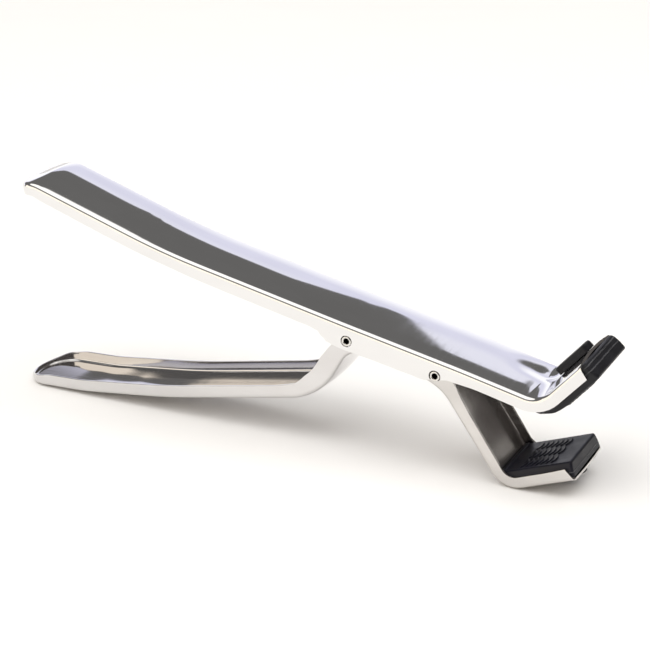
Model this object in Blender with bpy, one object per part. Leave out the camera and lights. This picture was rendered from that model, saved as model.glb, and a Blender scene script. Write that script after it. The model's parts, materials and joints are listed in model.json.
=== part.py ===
"""Spring-loaded hot-plate gripper: two hand levers and two rubber-padded jaws.

Three U-shaped steel stampings nest inside one another on two hollow rivets.  Squeezing the lower
handle pushes its nose down on the tail of the lower jaw, which swings up to meet the fixed upper jaw.

Axes: X runs from the handle tips (-X) to the jaws (+X), Y is across the sheet, Z is up.
The tool rests on the lower handle tip and on the heel of the lower jaw.  Sizes are millimetres.
"""

import math

import bmesh
import bpy
from mathutils import Matrix, Vector

MM = 0.001

# Placement of the drawing below relative to the bottom centre of the whole tool.
SHIFT_X = 8.25
SHIFT_Z = -0.99

# Sheet metal.
SHEET = 0.8
BEND = 1.6
GAP = 0.3
LEVER_WIDTH = 27.0
JAW_WIDTH = LEVER_WIDTH - 2.0 * (SHEET + GAP)
HANDLE_WIDTH = JAW_WIDTH - 2.0 * (SHEET + GAP)

# Rivets, given as (x, z) of their centres.
HANDLE_PIVOT = (13.8, 38.8)
JAW_PIVOT = (42.5, 32.9)
PIN_RADIUS = 1.55
PIN_BORE = 1.0

# Floor lines of the stampings: corner points (x, z) with the bend radius at each corner.
LEVER_LINE = [
    (-104.2, 72.1, 0.0),
    (-97.0, 72.9, 12.0),
    (-50.0, 57.6, 260.0),
    (12.0, 44.2, 400.0),
    (50.0, 36.3, 300.0),
    (74.5, 30.7, 7.5),
    (86.2, 44.2, 0.0),
]
HANDLE_LINE = [
    (-108.6, 0.94, 0.0),
    (-84.0, 2.0, 60.0),
    (-52.0, 6.0, 300.0),
    (3.1, 16.9, 22.0),
    (12.6, 33.6, 7.0),
    (29.2, 36.1, 0.0),
]
JAW_LINE = [
    (26.8, 34.5, 0.0),
    (43.7, 28.6, 14.0),
    (64.2, -0.8, 8.3),
    (86.4, 7.7, 0.0),
]

# Depth of the side walls below the floor line, as (x, depth) along each stamping.
LEVER_DEPTH = [
    (-104.2, 2.9), (-99.0, 3.8), (-90.0, 4.2), (-65.0, 4.45), (-50.0, 4.4), (-29.0, 4.8), (2.0, 4.8),
    (5.1, 5.1), (6.8, 6.3), (8.8, 7.4), (11.5, 7.8), (14.0, 7.9), (25.0, 7.5), (40.0, 7.3),
    (44.3, 5.6), (48.0, 4.5), (57.0, 3.9), (72.0, 4.0), (90.0, 4.2),
]
HANDLE_DEPTH = [
    (-108.8, 1.7), (-102.0, 3.5), (-96.0, 4.3), (-60.0, 4.4), (-12.0, 4.4), (-4.0, 4.9), (3.0, 6.1),
    (9.0, 6.2), (12.0, 5.7), (14.6, 7.8), (16.0, 8.2), (21.0, 5.6), (29.0, 3.2),
]
JAW_DEPTH = [
    (26.8, 3.6), (34.0, 5.4), (41.0, 6.0), (43.0, 5.9), (47.0, 4.6), (50.0, 4.3), (56.0, 4.1),
    (66.0, 3.8), (76.0, 3.9), (87.0, 4.2),
]

# Outward bulge of each floor along its centre line, as (x, height).
LEVER_CROWN = [(-104.2, 0.4), (-92.0, 1.2), (66.0, 1.2), (74.0, 0.7), (79.0, 0.9), (90.0, 0.9)]
HANDLE_CROWN = [
    (-92.0, 0.0), (-70.0, 1.2), (-50.0, 1.7), (-6.0, 1.7), (3.0, 0.5), (12.0, 0.2), (17.0, 0.0),
]
JAW_CROWN = [(25.0, 0.0), (36.0, 0.2), (42.0, 0.8), (50.0, 0.7), (58.0, 0.0), (68.0, 0.0), (76.0, 0.3)]

# Rounded handle tips: length of the rounding and squareness of its outline.
LEVER_TIP = 7.0
HANDLE_TIP = 9.0
LEVER_TIP_SQUARENESS = 2.6
HANDLE_TIP_SQUARENESS = 2.0

# Rubber pads.
UPPER_PAD_DEPTH = 6.2
LOWER_PAD_DEPTH = 5.7
PAD_CHAMFER = 1.0
RIB_HEIGHT = 0.35
RIB_ROWS = 7
UPPER_HEAD_LENGTH = 14.0
LOWER_HEAD_LENGTH = 12.0
HEAD_WIDTH = 5.0
HEAD_HEIGHT = 1.8
HEAD_OFFSET = 1.2
STEM_LENGTH = 9.0
STEM_WIDTH = 3.0

# Distance of each retaining head from the end of its plate, and the bulge of the plate under it.
UPPER_HEAD_SETBACK = 7.6
LOWER_HEAD_SETBACK = 8.4
UPPER_HEAD_CROWN = 0.9
LOWER_HEAD_CROWN = 0.3

# Where the upper pad begins on the heel of the jaw, and where its plain grip face begins.
UPPER_PAD_HEEL = 70.5
UPPER_PAD_PLATE = 78.5

# Return spring: two coils on the jaw rivet joined by a bridge.
WIRE_RADIUS = 0.45
COIL_RADIUS = 2.3
COIL_TURNS = 4.55
COIL_START = 3.2
COIL_START_ANGLE = -128.0
SPRING_BRIDGE = [(46.9, 0.0, 27.3), (46.9, COIL_START - 0.8, 27.3), (46.4, COIL_START, 27.7)]
SPRING_LEG_END = (51.5, 34.35)


def place(x, y, z):
    """A point of the drawing in metres, in the frame of the finished tool."""
    return Vector(((x + SHIFT_X) * MM, y * MM, (z + SHIFT_Z) * MM))


def table(rows, x):
    """Smooth look-up in a short table of (x, value) rows."""
    if x <= rows[0][0]:
        return rows[0][1]
    for (x0, v0), (x1, v1) in zip(rows, rows[1:]):
        if x <= x1:
            f = (x - x0) / (x1 - x0)
            f = f * f * (3.0 - 2.0 * f)
            return v0 + (v1 - v0) * f
    return rows[-1][1]


class Line:
    """A floor line made of straight runs and arcs, walked by length."""

    def __init__(self, corners, arc_step=0.16):
        points = [Vector((corners[0][0], corners[0][1]))]
        for before, corner, after in zip(corners, corners[1:], corners[2:]):
            here = Vector(corner[:2])
            back = (Vector(before[:2]) - here).normalized()
            ahead = (Vector(after[:2]) - here).normalized()
            turn = math.pi - back.angle(ahead)
            reach = corner[2] * math.tan(turn / 2.0)
            centre = here + (back + ahead).normalized() * corner[2] / math.cos(turn / 2.0)
            arm = here + back * reach - centre
            sign = 1.0 if back.x * ahead.y - back.y * ahead.x < 0.0 else -1.0
            steps = max(2, math.ceil(turn / arc_step))
            for k in range(steps + 1):
                angle = sign * turn * k / steps
                c, s = math.cos(angle), math.sin(angle)
                points.append(centre + Vector((arm.x * c - arm.y * s, arm.x * s + arm.y * c)))
        points.append(Vector((corners[-1][0], corners[-1][1])))
        self.points = points
        self.lengths = [0.0]
        for a, b in zip(points, points[1:]):
            self.lengths.append(self.lengths[-1] + (b - a).length)
        self.total = self.lengths[-1]

    def at(self, s):
        """Position and direction at length s; runs straight on past both ends."""
        k = 0
        while k < len(self.lengths) - 2 and s > self.lengths[k + 1]:
            k += 1
        a, b = self.points[k], self.points[k + 1]
        along = (b - a).normalized()
        return a + along * (s - self.lengths[k]), along

    def heading(self, s):
        """Direction at length s, averaged over a short stretch so that arcs stay smooth."""
        return (self.at(s + 0.4)[0] - self.at(s - 0.4)[0]).normalized()

    def length_at(self, x):
        """Length at which the line reaches x."""
        for k, (a, b) in enumerate(zip(self.points, self.points[1:])):
            if a.x <= x <= b.x:
                return self.lengths[k] + (b - a).length * (x - a.x) / (b.x - a.x)
        return 0.0 if x < self.points[0].x else self.total


def stops(line, longest, extra=()):
    """Stations along a line: its corners, then long runs split to the given length."""
    marks = sorted(set([min(round(v, 4), line.total) for v in (*line.lengths, *extra)]))
    out = [marks[0]]
    for m in marks[1:]:
        if m - out[-1] < 0.25:
            continue
        pieces = max(1, math.ceil((m - out[-1]) / longest))
        start = out[-1]
        out += [start + (m - start) * (k + 1) / pieces for k in range(pieces)]
    return out


def half_section(half_width, depth, crown, inner):
    """Half of a channel section from its centre line to its rim: (distance in from side, height)."""
    skin = SHEET if inner else 0.0
    flat = half_width - BEND
    rows = []
    for k in range(4):
        y = flat * k / 4.0
        rows.append((half_width - y, crown * (1.0 - (y / flat) ** 2) - skin))
    for k in range(4):
        angle = math.radians(90.0 * k / 3.0)
        radius = BEND - skin
        rows.append((BEND - radius * math.sin(angle), radius * math.cos(angle) - BEND))
    rows.append((skin, -depth))
    return rows


def new_object(name, mesh, material, pivot=None):
    """An object for a mesh, with its origin on the pivot it turns about."""
    if pivot:
        origin = place(pivot[0], 0.0, pivot[1])
        mesh.transform(Matrix.Translation(-origin))
    thing = bpy.data.objects.new(name, mesh)
    if pivot:
        thing.location = origin
    bpy.context.scene.collection.objects.link(thing)
    mesh.materials.append(material)
    return thing


def finish_mesh(name, bm, smooth_angle=35.0):
    """Close, orient and shade a mesh."""
    bmesh.ops.remove_doubles(bm, verts=bm.verts, dist=0.00001)
    bmesh.ops.dissolve_degenerate(bm, dist=0.00001, edges=bm.edges)
    bmesh.ops.recalc_face_normals(bm, faces=bm.faces)
    for face in bm.faces:
        face.smooth = True
    for edge in bm.edges:
        if len(edge.link_faces) == 2:
            edge.smooth = edge.calc_face_angle(0.0) < math.radians(smooth_angle)
    mesh = bpy.data.meshes.new(name)
    bm.to_mesh(mesh)
    bm.free()
    return mesh


def stamping(name, line, side, half_width, depths, crowns, marks, tip=0.0, square=2.0, rake=0.0):
    """A U-shaped stamping swept along its floor line.

    side is +1 where the outer face is the upper one, -1 where it is the lower one.
    tip and square are the length and squareness of a rounded closed front end.
    rake leans the side walls back at the far end.
    """
    bm = bmesh.new()

    def point(s, y, height):
        where, _ = line.at(s)
        along = line.heading(s)
        normal = Vector((-along.y, along.x)) * side
        spot = where + normal * height
        return bm.verts.new(place(spot.x, y, spot.y))

    def ring(s, inner):
        x = line.at(s)[0].x
        rows = half_section(half_width, table(depths, x), table(crowns, x), inner)
        lean = rake * max(0.0, 1.0 - (line.total - s) / 6.0)
        left = [point(s + lean * h, -(half_width - d), h) for d, h in reversed(rows[1:])]
        right = [point(s + lean * h, half_width - d, h) for d, h in rows]
        return left + right

    outer = [ring(s, False) for s in marks]
    inner = [ring(s, True) for s in marks]
    count = len(outer[0])
    for a, b in ((outer, 1), (inner, -1)):
        for r0, r1 in zip(a, a[1:]):
            for k in range(count - 1):
                quad = (r0[k], r0[k + 1], r1[k + 1], r1[k])
                bm.faces.new(quad if b > 0 else tuple(reversed(quad)))
    for k in (0, count - 1):
        for o0, o1, i0, i1 in zip(outer, outer[1:], inner, inner[1:]):
            bm.faces.new((o0[k], o1[k], i1[k], i0[k]))
    ends = [-1] if tip else [0, -1]
    for e in ends:
        for k in range(count - 1):
            bm.faces.new((outer[e][k], outer[e][k + 1], inner[e][k + 1], inner[e][k]))
    if tip:
        round_tip(bm, line, point, half_width, depths, crowns, marks[0], tip, square, outer[0], inner[0])
    return finish_mesh(name, bm)


def round_tip(bm, line, point, half_width, depths, crowns, start, tip, square, outer_ring, inner_ring):
    """Close the front of a stamping with a rounded end whose side wall runs all the way round."""
    middle = len(outer_ring) // 2
    steps = 16
    margin = BEND + 0.6

    def outline(angle):
        c, s = math.cos(angle), math.sin(angle)
        p = 2.0 / square
        return Vector((tip * abs(c) ** p, half_width * math.copysign(abs(s) ** p, s)))

    def inward(angle):
        a, b = outline(angle - 0.02), outline(angle + 0.02)
        run = (b - a).normalized()
        return Vector((-run.y, run.x))

    def fan(ring, is_inner):
        rows = [list(ring[middle:])]
        for k in range(1, steps):
            angle = math.pi / 2.0 - math.pi * k / steps
            edge, away = outline(angle), inward(angle)
            if away.x > 0.0:
                away = -away
            reach = edge.x
            x = line.at(start - reach)[0].x
            half = half_section(half_width, table(depths, x), table(crowns, x), is_inner)
            centre_crown = table(crowns, line.at(start)[0].x)
            spokes = [ring[middle]]
            for d, height in half[1:]:
                if d <= margin:
                    spot = edge + away * d
                else:
                    f = (d - margin) / (half_width - margin)
                    spot = (edge + away * margin) * (1.0 - f)
                    height = height + (centre_crown - table(crowns, x)) * f
                spokes.append(point(start - spot.x, spot.y, height))
            rows.append(spokes)
        rows.append(list(reversed(ring[: middle + 1])))
        return rows

    outer = fan(outer_ring, False)
    inner = fan(inner_ring, True)
    for rows in (outer, inner):
        for r0, r1 in zip(rows, rows[1:]):
            bm.faces.new((r0[0], r0[1], r1[1]))
            for k in range(1, len(r0) - 1):
                bm.faces.new((r0[k], r0[k + 1], r1[k + 1], r1[k]))
    for o0, o1, i0, i1 in zip(outer, outer[1:], inner, inner[1:]):
        bm.faces.new((o0[-1], o1[-1], i1[-1], i0[-1]))


def cylinder(bm, centre, radius, half_length, segments):
    """A closed cylinder across the tool."""
    rings = []
    for y in (-half_length, half_length):
        ring = []
        for k in range(segments):
            angle = 2.0 * math.pi * k / segments
            x = centre[0] + radius * math.cos(angle)
            z = centre[1] + radius * math.sin(angle)
            ring.append(bm.verts.new(place(x, y, z)))
        rings.append(ring)
    for k in range(segments):
        n = (k + 1) % segments
        bm.faces.new((rings[0][k], rings[0][n], rings[1][n], rings[1][k]))
    bm.faces.new(rings[0])
    bm.faces.new(rings[1])


def drill(thing, centres, radius, segments=20):
    """Cut round holes across the tool through a stamping."""
    bm = bmesh.new()
    for centre in centres:
        cylinder(bm, centre, radius, LEVER_WIDTH, segments)
    cut_or_join(thing, finish_mesh(thing.name + "_holes", bm), "DIFFERENCE")


def cut_or_join(thing, mesh, operation):
    """Apply an exact Boolean to an object and drop the tool body."""
    tool = bpy.data.objects.new(mesh.name, mesh)
    bpy.context.scene.collection.objects.link(tool)
    modifier = thing.modifiers.new("cut", "BOOLEAN")
    modifier.operation = operation
    modifier.solver = "EXACT"
    modifier.object = tool
    graph = bpy.context.evaluated_depsgraph_get()
    result = bpy.data.meshes.new_from_object(thing.evaluated_get(graph))
    thing.modifiers.remove(modifier)
    old = thing.data
    thing.data = result
    bpy.data.meshes.remove(old)
    bpy.data.objects.remove(tool)
    bpy.data.meshes.remove(mesh)


def stadium(length, width, segments=8):
    """Outline of a slot with round ends, as (along, across) points."""
    radius = width / 2.0
    half = length / 2.0 - radius
    rows = []
    for centre, start in ((half, -90.0), (-half, 90.0)):
        for k in range(segments + 1):
            angle = math.radians(start + 180.0 * k / segments)
            rows.append((centre + radius * math.cos(angle), radius * math.sin(angle)))
    return rows


def slot_body(name, line, side, middle, layers):
    """A stack of slot outlines standing on a floor line: layers are (length, width, height, offset)."""
    where, along = line.at(middle)
    normal = Vector((-along.y, along.x)) * side
    bm = bmesh.new()
    rings = []
    for length, width, height, offset in layers:
        ring = []
        for u, v in stadium(length, width):
            spot = where + along * (u + offset) + normal * height
            ring.append(bm.verts.new(place(spot.x, v, spot.y)))
        rings.append(ring)
    count = len(rings[0])
    for r0, r1 in zip(rings, rings[1:]):
        for k in range(count):
            n = (k + 1) % count
            bm.faces.new((r0[k], r0[n], r1[n], r1[k]))
    bm.faces.new(rings[0])
    bm.faces.new(rings[-1])
    return finish_mesh(name, bm)


def pad_section(half_width, top_width, back, crown, depth, rib):
    """Closed section of a rubber pad as (across, height) points."""
    side = half_width - PAD_CHAMFER
    rows = []
    for k in range(-3, 4):
        f = k / 3.0
        rows.append((side * f, back + crown * (1.0 - f * f)))
    rows += [
        (half_width, back - PAD_CHAMFER),
        (half_width, -depth + 2.2),
        (top_width, -depth + 0.7),
        (top_width - 0.7, -depth),
        (top_width - 2.2, -depth - rib),
        (-top_width + 2.2, -depth - rib),
        (-top_width + 0.7, -depth),
        (-top_width, -depth + 0.7),
        (-half_width, -depth + 2.2),
        (-half_width, back - PAD_CHAMFER),
    ]
    return rows


def pad(name, line, side, sections):
    """A pad swept along a floor line: sections are (length, section points, lean)."""
    bm = bmesh.new()
    rings = []
    for s, rows, lean in sections:
        ring = []
        for y, height in rows:
            where, _ = line.at(s - lean * height)
            along = line.heading(s - lean * height)
            normal = Vector((-along.y, along.x)) * side
            spot = where + normal * height
            ring.append(bm.verts.new(place(spot.x, y, spot.y)))
        rings.append(ring)
    count = len(rings[0])
    for r0, r1 in zip(rings, rings[1:]):
        for k in range(count):
            n = (k + 1) % count
            bm.faces.new((r0[k], r0[n], r1[n], r1[k]))
    bm.faces.new(rings[0])
    bm.faces.new(rings[-1])
    return finish_mesh(name, bm)


def ribbed(start, pitch, rows):
    """Lengths and rib heights of a saw-tooth grip pattern."""
    out = []
    for k in range(rows):
        out.append((start + pitch * k, 0.0))
        out.append((start + pitch * (k + 0.75), RIB_HEIGHT))
    out.append((start + pitch * rows, 0.0))
    return out


def tube_along(name, path, radius, segments=6):
    """A round wire swept along a 3-D path."""
    bm = bmesh.new()
    rings = []
    across = Vector((0.0, 1.0, 0.0))
    for k, here in enumerate(path):
        before = path[max(0, k - 1)]
        after = path[min(len(path) - 1, k + 1)]
        along = (after - before).normalized()
        across = (across - along * across.dot(along)).normalized()
        third = along.cross(across)
        ring = []
        for j in range(segments):
            angle = 2.0 * math.pi * j / segments
            spot = here + (across * math.cos(angle) + third * math.sin(angle)) * radius
            ring.append(bm.verts.new(place(spot.x, spot.y, spot.z)))
        rings.append(ring)
    for r0, r1 in zip(rings, rings[1:]):
        for k in range(segments):
            n = (k + 1) % segments
            bm.faces.new((r0[k], r0[n], r1[n], r1[k]))
    bm.faces.new(rings[0])
    bm.faces.new(rings[-1])
    return finish_mesh(name, bm, 80.0)


def spring_path():
    """Centre line of the double torsion spring on the jaw rivet."""
    px, pz = JAW_PIVOT
    pitch = 2.0 * WIRE_RADIUS + 0.12
    half = [Vector((x, y, z)) for x, y, z in SPRING_BRIDGE]
    steps = round(12 * COIL_TURNS)
    start = math.radians(COIL_START_ANGLE)
    for k in range(steps + 1):
        f = k / steps
        angle = start + 2.0 * math.pi * COIL_TURNS * f
        y = COIL_START + pitch * COIL_TURNS * f
        half.append(Vector((px + COIL_RADIUS * math.cos(angle), y, pz + COIL_RADIUS * math.sin(angle))))
    half.append(Vector((SPRING_LEG_END[0], half[-1].y, SPRING_LEG_END[1])))
    mirrored = [Vector((p.x, -p.y, p.z)) for p in reversed(half[1:])]
    return mirrored + half


def pin_mesh(name, centre):
    """A hollow rivet with slightly rolled ends, flush with the sides of the upper lever."""
    half = LEVER_WIDTH / 2.0
    profile = [
        (PIN_BORE, half - 0.2), (PIN_BORE + 0.25, half + 0.05), (PIN_RADIUS - 0.1, half + 0.05),
        (PIN_RADIUS, half - 0.1), (PIN_RADIUS, -half + 0.1), (PIN_RADIUS - 0.1, -half - 0.05),
        (PIN_BORE + 0.25, -half - 0.05), (PIN_BORE, -half + 0.2),
    ]
    bm = bmesh.new()
    segments = 20
    rings = []
    for radius, y in profile:
        ring = []
        for k in range(segments):
            angle = 2.0 * math.pi * k / segments
            x = centre[0] + radius * math.cos(angle)
            z = centre[1] + radius * math.sin(angle)
            ring.append(bm.verts.new(place(x, y, z)))
        rings.append(ring)
    for r0, r1 in zip(rings, rings[1:] + rings[:1]):
        for k in range(segments):
            n = (k + 1) % segments
            bm.faces.new((r0[k], r0[n], r1[n], r1[k]))
    return finish_mesh(name, bm)


def material(name, colour, metallic, roughness):
    made = bpy.data.materials.new(name)
    made.use_nodes = True
    shader = made.node_tree.nodes["Principled BSDF"]
    shader.inputs["Base Color"].default_value = (*colour, 1.0)
    shader.inputs["Metallic"].default_value = metallic
    shader.inputs["Roughness"].default_value = roughness
    return made


for leftover in list(bpy.data.objects):
    bpy.data.objects.remove(leftover)

lever_line = Line(LEVER_LINE)
handle_line = Line(HANDLE_LINE)
jaw_line = Line(JAW_LINE)

steel = material("polished_steel", (0.80, 0.80, 0.81), 1.0, 0.12)
handle_steel = material("handle_steel", (0.76, 0.76, 0.77), 1.0, 0.2)
jaw_steel = material("jaw_steel", (0.74, 0.74, 0.75), 1.0, 0.26)
rubber = material("pad_rubber", (0.02, 0.02, 0.026), 0.0, 0.55)
lower_rubber = material("lower_pad_rubber", (0.022, 0.022, 0.03), 0.0, 0.55)
rivet_steel = material("rivet_steel", (0.7, 0.7, 0.7), 1.0, 0.25)
spring_steel = material("spring_steel", (0.5, 0.5, 0.52), 1.0, 0.35)

# Upper lever: upper handle and upper jaw in one stamping.
hinge_part = [x for x, _ in LEVER_DEPTH if 0.0 < x < 60.0]
lever_marks = stops(lever_line, 9.0, [lever_line.length_at(x) for x in hinge_part])
lever_marks = [LEVER_TIP] + [m for m in lever_marks if m > LEVER_TIP + 1.0]
lever_mesh = stamping(
    "upper_lever", lever_line, 1.0, LEVER_WIDTH / 2.0, LEVER_DEPTH, LEVER_CROWN,
    lever_marks, tip=LEVER_TIP, square=LEVER_TIP_SQUARENESS, rake=0.25,
)
upper_lever = new_object("upper_lever", lever_mesh, steel)
drill(upper_lever, [HANDLE_PIVOT, JAW_PIVOT], PIN_RADIUS + GAP)

# Lower handle, turning on the rear rivet.
handle_marks = stops(handle_line, 9.0, [handle_line.length_at(x) for x in (-12.0, -4.0, 18.0, 23.0)])
handle_marks = [HANDLE_TIP] + [m for m in handle_marks if m > HANDLE_TIP + 1.0]
handle_mesh = stamping(
    "lower_handle", handle_line, -1.0, HANDLE_WIDTH / 2.0, HANDLE_DEPTH, HANDLE_CROWN,
    handle_marks, tip=HANDLE_TIP, square=HANDLE_TIP_SQUARENESS,
)
lower_handle = new_object("lower_handle", handle_mesh, handle_steel, HANDLE_PIVOT)
drill(lower_handle, [HANDLE_PIVOT], PIN_RADIUS + GAP)

# Lower jaw, turning on the front rivet.
jaw_marks = stops(jaw_line, 5.0, [jaw_line.length_at(x) for x in (34.0, 82.0)])
jaw_mesh = stamping(
    "lower_jaw", jaw_line, -1.0, JAW_WIDTH / 2.0, JAW_DEPTH, JAW_CROWN, jaw_marks, rake=0.45,
)
lower_jaw = new_object("lower_jaw", jaw_mesh, jaw_steel, JAW_PIVOT)
drill(lower_jaw, [JAW_PIVOT], PIN_RADIUS + GAP)

# Slots that hold the stems of the pads.
upper_head = lever_line.total - UPPER_HEAD_SETBACK
lower_head = jaw_line.total - LOWER_HEAD_SETBACK
slot_layers = [(STEM_LENGTH + 2 * GAP, STEM_WIDTH + 2 * GAP, h, 0.0) for h in (-3.0, 4.0)]
cut_or_join(upper_lever, slot_body("slot", lever_line, 1.0, upper_head, slot_layers), "DIFFERENCE")
cut_or_join(lower_jaw, slot_body("slot", jaw_line, -1.0, lower_head, slot_layers), "DIFFERENCE")

# Upper pad: follows the heel of the upper jaw and covers the end of its plate.
half = LEVER_WIDTH / 2.0 - SHEET - GAP
back = -SHEET - GAP
heel = lever_line.length_at(UPPER_PAD_HEEL)
plate = lever_line.length_at(UPPER_PAD_PLATE)
end = lever_line.total
upper_sections = [
    (heel, pad_section(half, half - 0.4, back, 0.4, 3.6, 0.0), 0.0),
    (heel + 1.5, pad_section(half, half - 0.4, back, 0.4, 4.5, 0.0), 0.0),
    (heel + 3.5, pad_section(half, half - 0.4, back, 0.4, 5.3, 0.0), 0.0),
    (heel + 6.0, pad_section(half, half - 0.4, back, 0.5, 5.9, 0.0), 0.0),
]
for s, rib in ribbed(plate - 1.0, 1.5, RIB_ROWS):
    row = pad_section(half, half - 0.4, back, 0.8, UPPER_PAD_DEPTH, rib)
    upper_sections.append((s, row, 0.0))
for past, height, lean in ((0.3, back, 0.0), (0.35, -0.2, 0.05), (1.2, -0.4, 0.12)):
    row = pad_section(half, half - 0.4, height, 1.0, UPPER_PAD_DEPTH, 0.0)
    upper_sections.append((end + past, row, lean))
upper_pad = new_object("upper_jaw_pad", pad("upper_jaw_pad", lever_line, 1.0, upper_sections), rubber)

# Lower pad: its top is one flat face from the heel to the end of the plate.
half = JAW_WIDTH / 2.0 - SHEET - GAP
top = half - 0.6
radius = JAW_LINE[2][2]
heel_length = jaw_line.lengths[-2]
lower_sections = []
for degrees in (66.0, 58.0, 48.0, 38.0, 28.0, 18.0, 9.0):
    angle = math.radians(degrees)
    depth = radius - (radius - LOWER_PAD_DEPTH) / math.cos(angle)
    depth = max(depth, SHEET + GAP + PAD_CHAMFER + 0.3)
    row = pad_section(half, top, back, 0.0, max(depth, 3.4), 0.0)
    lower_sections.append((heel_length - radius * angle, row, 0.0))
for s, rib in ribbed(heel_length + 0.4, 1.6, RIB_ROWS):
    lower_sections.append((s, pad_section(half, top, back, 0.0, LOWER_PAD_DEPTH, rib), 0.0))
lower_sections.append((jaw_line.total, pad_section(half, top, back, 0.0, LOWER_PAD_DEPTH, 0.0), 0.0))
lower_pad = new_object(
    "lower_jaw_pad", pad("lower_jaw_pad", jaw_line, -1.0, lower_sections), lower_rubber, JAW_PIVOT,
)

# Retaining heads moulded on the pads, behind the plates.
for body, line, side, middle, crown, length in (
    (upper_pad, lever_line, 1.0, upper_head, UPPER_HEAD_CROWN, UPPER_HEAD_LENGTH),
    (lower_pad, jaw_line, -1.0, lower_head, LOWER_HEAD_CROWN, LOWER_HEAD_LENGTH),
):
    layers = [
        (STEM_LENGTH, STEM_WIDTH, -2.4, 0.0),
        (STEM_LENGTH, STEM_WIDTH, crown + GAP, 0.0),
        (length, HEAD_WIDTH, crown + GAP, HEAD_OFFSET),
        (length, HEAD_WIDTH, crown + HEAD_HEIGHT - 0.5, HEAD_OFFSET),
        (length - 1.6, HEAD_WIDTH - 1.4, crown + HEAD_HEIGHT, HEAD_OFFSET),
    ]
    cut_or_join(body, slot_body("head", line, side, middle, layers), "UNION")

new_object("handle_rivet", pin_mesh("handle_rivet", HANDLE_PIVOT), rivet_steel)
new_object("jaw_rivet", pin_mesh("jaw_rivet", JAW_PIVOT), rivet_steel)
new_object("return_spring", tube_along("return_spring", spring_path(), WIRE_RADIUS), spring_steel)
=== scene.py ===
"""Looks of a spring-loaded hot-plate gripper, built on its CAD model.

The three steel stampings, the two rubber pads, the rivets and the spring are rebuilt as fine, smooth
meshes on the lines of the CAD drawing (millimetres, X along the tool, Z up); all but the spring move with
the CAD bodies.
"""

import json
import math
from bisect import bisect_right

import bmesh
import bpy
from mathutils import Matrix, Vector


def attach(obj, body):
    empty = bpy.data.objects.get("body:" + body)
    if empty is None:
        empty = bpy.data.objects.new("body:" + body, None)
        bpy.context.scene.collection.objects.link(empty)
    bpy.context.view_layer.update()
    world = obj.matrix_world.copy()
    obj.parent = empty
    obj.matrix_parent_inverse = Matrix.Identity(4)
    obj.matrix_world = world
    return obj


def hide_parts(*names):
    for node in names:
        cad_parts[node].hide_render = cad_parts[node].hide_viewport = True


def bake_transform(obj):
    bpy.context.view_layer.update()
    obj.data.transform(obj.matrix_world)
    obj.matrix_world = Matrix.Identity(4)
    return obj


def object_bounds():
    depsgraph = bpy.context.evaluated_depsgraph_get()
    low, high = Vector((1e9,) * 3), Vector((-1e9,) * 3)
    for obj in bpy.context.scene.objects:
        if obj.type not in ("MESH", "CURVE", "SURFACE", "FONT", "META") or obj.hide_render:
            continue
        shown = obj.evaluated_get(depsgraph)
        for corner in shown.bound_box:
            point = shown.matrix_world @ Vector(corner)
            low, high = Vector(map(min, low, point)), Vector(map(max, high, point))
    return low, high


MM = 0.001

# The side of its floor line that a stamping's outer face looks to.
ABOVE = 1.0
BELOW = -1.0

# Sheet metal, as in the CAD drawing.
SHEET = 0.8
BEND = 1.6
LEVER_HALF = 13.5
JAW_HALF = 12.4
HANDLE_HALF = 11.3

# Rivets, given as (x, z) of their centres.
HANDLE_PIVOT = (13.8, 38.8)
JAW_PIVOT = (42.5, 32.9)
PIN_RADIUS = 1.55
PIN_CLEARANCE = 0.3

# Floor lines of the stampings: corner points (x, z) with the bend radius at each corner.
LEVER_LINE = [
    (-104.2, 72.1, 0.0),
    (-97.0, 72.9, 12.0),
    (-50.0, 57.6, 260.0),
    (12.0, 44.2, 400.0),
    (50.0, 36.3, 300.0),
    (74.5, 30.7, 7.5),
    (86.2, 44.2, 0.0),
]
HANDLE_LINE = [
    (-108.6, 0.94, 0.0),
    (-84.0, 2.0, 60.0),
    (-52.0, 6.0, 300.0),
    (3.1, 16.9, 22.0),
    (12.6, 33.6, 7.0),
    (29.2, 36.1, 0.0),
]
JAW_LINE = [
    (26.8, 34.5, 0.0),
    (43.7, 28.6, 14.0),
    (64.2, -0.8, 8.3),
    (86.4, 7.7, 0.0),
]

# Depth of the side walls below the floor line, as (x, depth).
LEVER_DEPTH = [
    (-104.2, 2.9), (-99.0, 3.8), (-90.0, 4.2), (-65.0, 4.45), (-50.0, 4.4), (-29.0, 4.8), (2.0, 4.8),
    (5.1, 5.1), (6.8, 6.3), (8.8, 7.4), (11.5, 7.8), (14.0, 7.9), (25.0, 7.5), (40.0, 7.3),
    (44.3, 5.6), (48.0, 4.5), (57.0, 3.9), (72.0, 4.0), (90.0, 4.2),
]
HANDLE_DEPTH = [
    (-108.8, 1.9), (-102.0, 3.5), (-96.0, 4.3), (-60.0, 4.4), (-12.0, 4.4), (-4.0, 4.9), (3.0, 6.1),
    (9.0, 6.2), (12.0, 5.7), (14.6, 7.8), (16.0, 8.2), (21.0, 5.6), (29.0, 3.2),
]
JAW_DEPTH = [
    (26.8, 3.6), (34.0, 5.4), (41.0, 6.0), (43.0, 5.9), (47.0, 4.6), (50.0, 4.3), (56.0, 4.1),
    (66.0, 3.8), (76.0, 3.9), (87.0, 4.2),
]

# Outward bulge of each floor along its centre line, as (x, height).
LEVER_CROWN = [(-104.2, 0.4), (-92.0, 1.2), (66.0, 1.2), (74.0, 0.7), (79.0, 0.9), (90.0, 0.9)]
HANDLE_CROWN = [
    (-92.0, 0.0), (-70.0, 1.2), (-50.0, 1.7), (-6.0, 1.7), (3.0, 0.5), (12.0, 0.2), (17.0, 0.0),
]
JAW_CROWN = [(25.0, 0.0), (36.0, 0.2), (42.0, 0.8), (50.0, 0.7), (58.0, 0.0), (68.0, 0.0), (76.0, 0.3)]

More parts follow.
